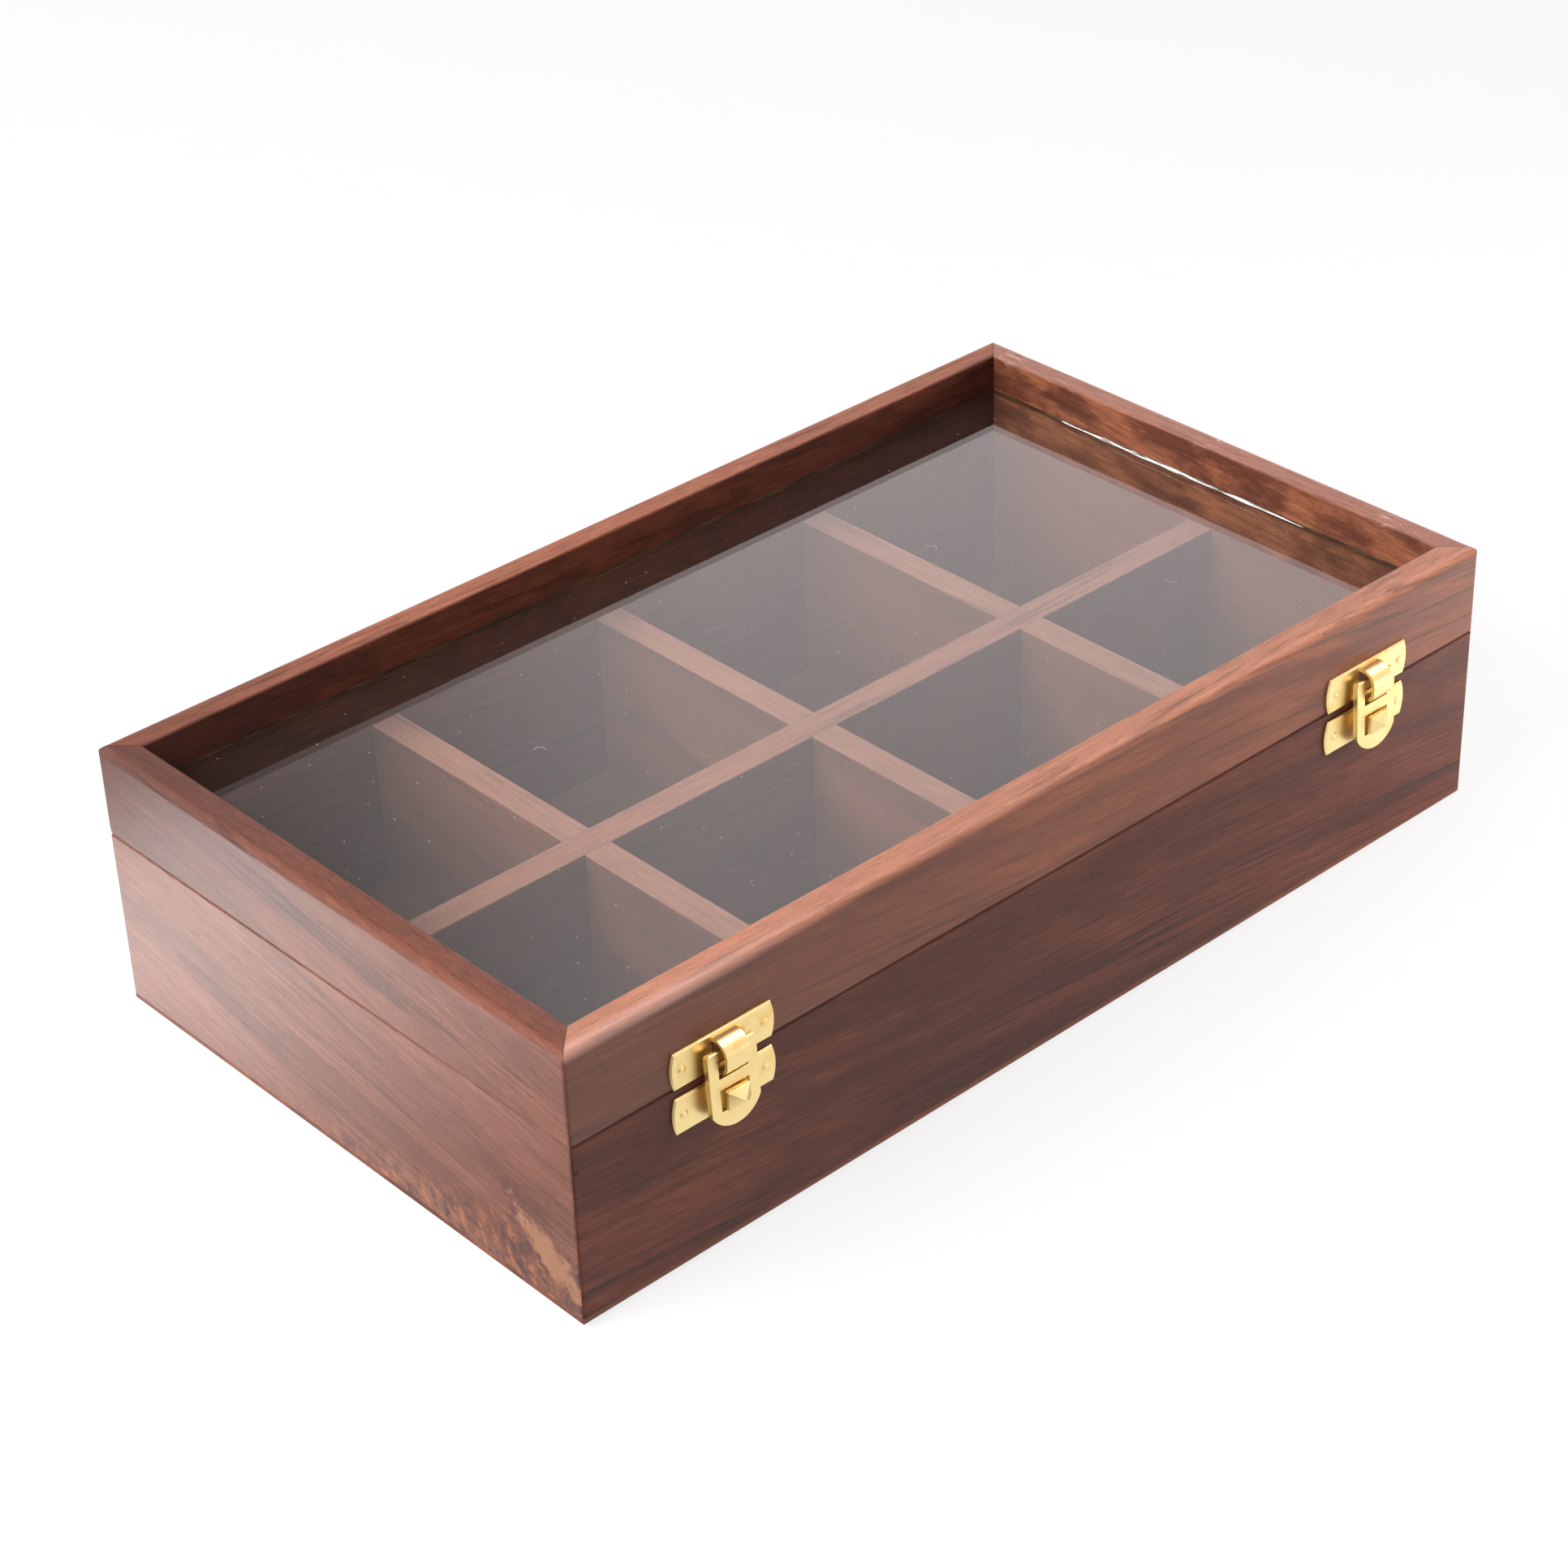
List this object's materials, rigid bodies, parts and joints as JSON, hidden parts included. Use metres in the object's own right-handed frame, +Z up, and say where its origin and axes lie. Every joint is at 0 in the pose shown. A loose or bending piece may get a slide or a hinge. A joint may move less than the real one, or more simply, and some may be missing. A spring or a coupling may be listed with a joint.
{
  "type": "tea bag organizer box",
  "caption": "Long low hardwood box with equal open compartments under a hinged lid framing a recessed glass pane, held shut at the front by brass hasps over pointed catches.",
  "frame": {"origin": "middle of the flat underside of the box", "axes": "+X to the right along the length, -Y to the front with the latches, +Z up"},
  "size_m": [0.305, 0.1825, 0.0755],
  "materials": {
    "box_wall_wood": "satin oiled rosewood, dark streaks",
    "lid_rail_wood": "satin oiled rosewood, orange brown rims",
    "divider_wood": "satin rosewood, pale tops",
    "panel_wood": "plain sanded rosewood sheet",
    "clear_glass": "clear polished",
    "latch_brass": "polished",
    "hinge_brass": "polished",
    "steel_nails": "plain wire nail heads"
  },
  "bodies": {
    "base": {"bottom_panel": "panel_wood", "base_front_wall": "box_wall_wood", "base_back_wall": "box_wall_wood", "base_left_wall": "box_wall_wood", "base_right_wall": "box_wall_wood", "long_divider": "divider_wood", "cross_divider_left": "divider_wood", "cross_divider_middle": "divider_wood", "cross_divider_right": "divider_wood", "panel_nails": "steel_nails", "left_hinge_base_leaf": "hinge_brass", "right_hinge_base_leaf": "hinge_brass", "left_hinge_pin": "hinge_brass", "right_hinge_pin": "hinge_brass", "base_hinge_screws": "hinge_brass", "left_catch_plate": "latch_brass", "right_catch_plate": "latch_brass", "left_catch_nails": "latch_brass", "right_catch_nails": "latch_brass"},
    "lid": {"lid_front_rail": "lid_rail_wood", "lid_back_rail": "lid_rail_wood", "lid_left_rail": "lid_rail_wood", "lid_right_rail": "lid_rail_wood", "glass_pane": "clear_glass", "left_hinge_lid_leaf": "hinge_brass", "right_hinge_lid_leaf": "hinge_brass", "lid_hinge_screws": "hinge_brass", "left_latch_plate": "latch_brass", "right_latch_plate": "latch_brass", "left_latch_nails": "latch_brass", "right_latch_nails": "latch_brass"},
    "left_hasp": {"left_hasp": "latch_brass"},
    "right_hasp": {"right_hasp": "latch_brass"}
  },
  "joints": [
    {"name": "lid_hinge", "type": "hinge", "parent": "base", "child": "lid", "pos_m": [0, 0.0858, 0.0505], "axis": [-1, 0, 0], "range_deg": [0, 105]},
    {"name": "left_hasp_swing", "type": "hinge", "parent": "lid", "child": "left_hasp", "pos_m": [-0.109, -0.0899, 0.056], "axis": [-1, 0, 0], "range_deg": [0, 180]},
    {"name": "right_hasp_swing", "type": "hinge", "parent": "lid", "child": "right_hasp", "pos_m": [0.109, -0.0899, 0.056], "axis": [-1, 0, 0], "range_deg": [0, 180]}
  ]
}
